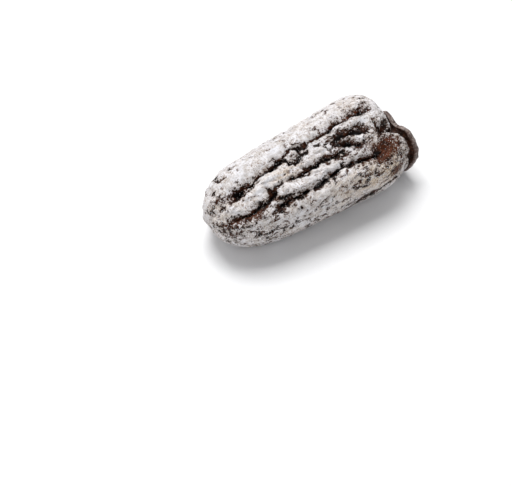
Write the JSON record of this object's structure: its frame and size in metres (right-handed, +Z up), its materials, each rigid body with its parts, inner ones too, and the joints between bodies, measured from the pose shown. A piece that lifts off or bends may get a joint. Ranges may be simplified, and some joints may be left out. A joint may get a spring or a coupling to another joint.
{
  "type": "dried persimmon",
  "caption": "Whole dried persimmon lying on its flattened belly: a long folded body dusted with sugar bloom, with a ring of skin, a dried calyx cup and a short hollow stem stub.",
  "frame": {"origin": "on the resting surface, under the middle of the part's box", "axes": "+X along the fruit from its tip towards its calyx, +Z up, -Y the front"},
  "size_m": [0.0864, 0.0395, 0.0298],
  "materials": {
    "bloomed_flesh": "dark brown dried flesh under a powdery grey-white sugar bloom",
    "dried_skin": "smooth leathery grey-brown skin, red-brown underneath",
    "dried_calyx": "matt papery ochre and brown, pale at the rim",
    "dried_stem": "matt brown stem with a whitish cut end"
  },
  "bodies": {
    "root": {"fruit": "bloomed_flesh", "skin_collar": "dried_skin", "calyx_cup": "dried_calyx", "stem_stub": "dried_stem"}
  },
  "joints": []
}
